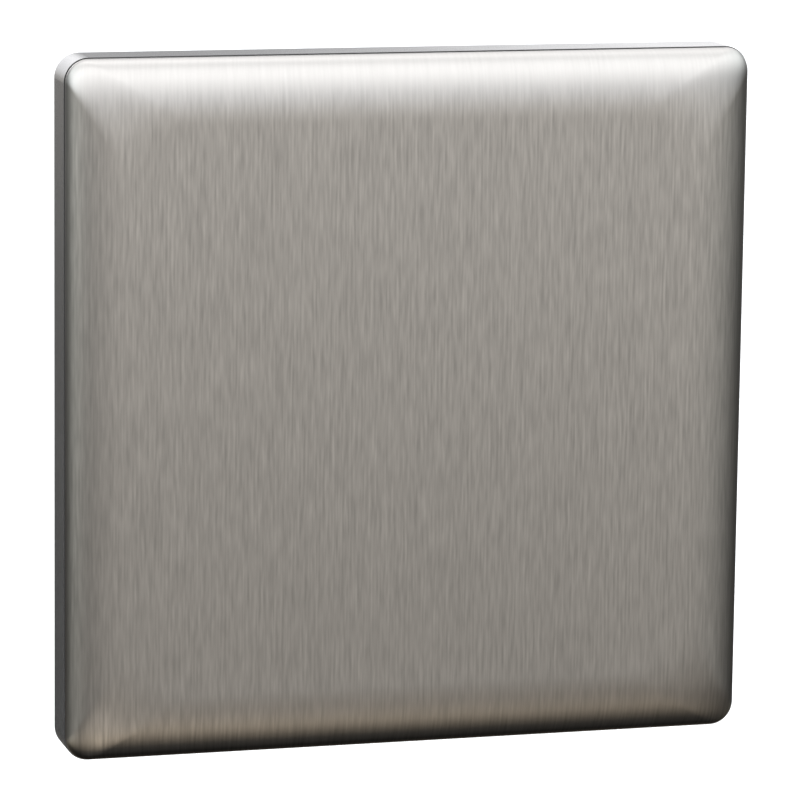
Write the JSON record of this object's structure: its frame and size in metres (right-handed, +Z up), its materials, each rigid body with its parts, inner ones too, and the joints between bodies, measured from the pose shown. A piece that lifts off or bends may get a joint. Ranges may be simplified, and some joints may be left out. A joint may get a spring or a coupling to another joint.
{
  "type": "blank plate",
  "caption": "Square screwless blank plate with a brushed steel front clipped over a moulded frame, closing off an unused single-gang wall box.",
  "frame": {"origin": "midway between the two fixing screws, on the wall plane at the back of the mounting frame", "axes": "+X to the right seen from the room, +Y into the wall along the screws, +Z up"},
  "size_m": [0.086, 0.0293, 0.086],
  "materials": {
    "brushed_front": "fine upright brushing",
    "carrier_plastic": "moulded black",
    "frame_plastic": "moulded satin grey",
    "zinc_strap": "zinc plated sheet",
    "spring_bronze": "rolled phosphor bronze",
    "terminal_brass": "turned brass",
    "clamp_brass": "turned brass",
    "zinc_screw": "zinc plated"
  },
  "bodies": {
    "frame": {"mounting_frame": "frame_plastic", "earth_strap": "zinc_strap", "earth_spring": "spring_bronze", "earth_terminal": "terminal_brass", "terminal_screw": "clamp_brass", "fixing_screws": "zinc_screw"},
    "cover": {"front_plate": "brushed_front", "clip_carrier": "carrier_plastic"}
  },
  "joints": [
    {"name": "cover_pull_off", "type": "slide", "parent": "frame", "child": "cover", "axis": [0, -1, 0], "range_m": [0, 0.016], "deforming": ["clip_carrier"]}
  ]
}
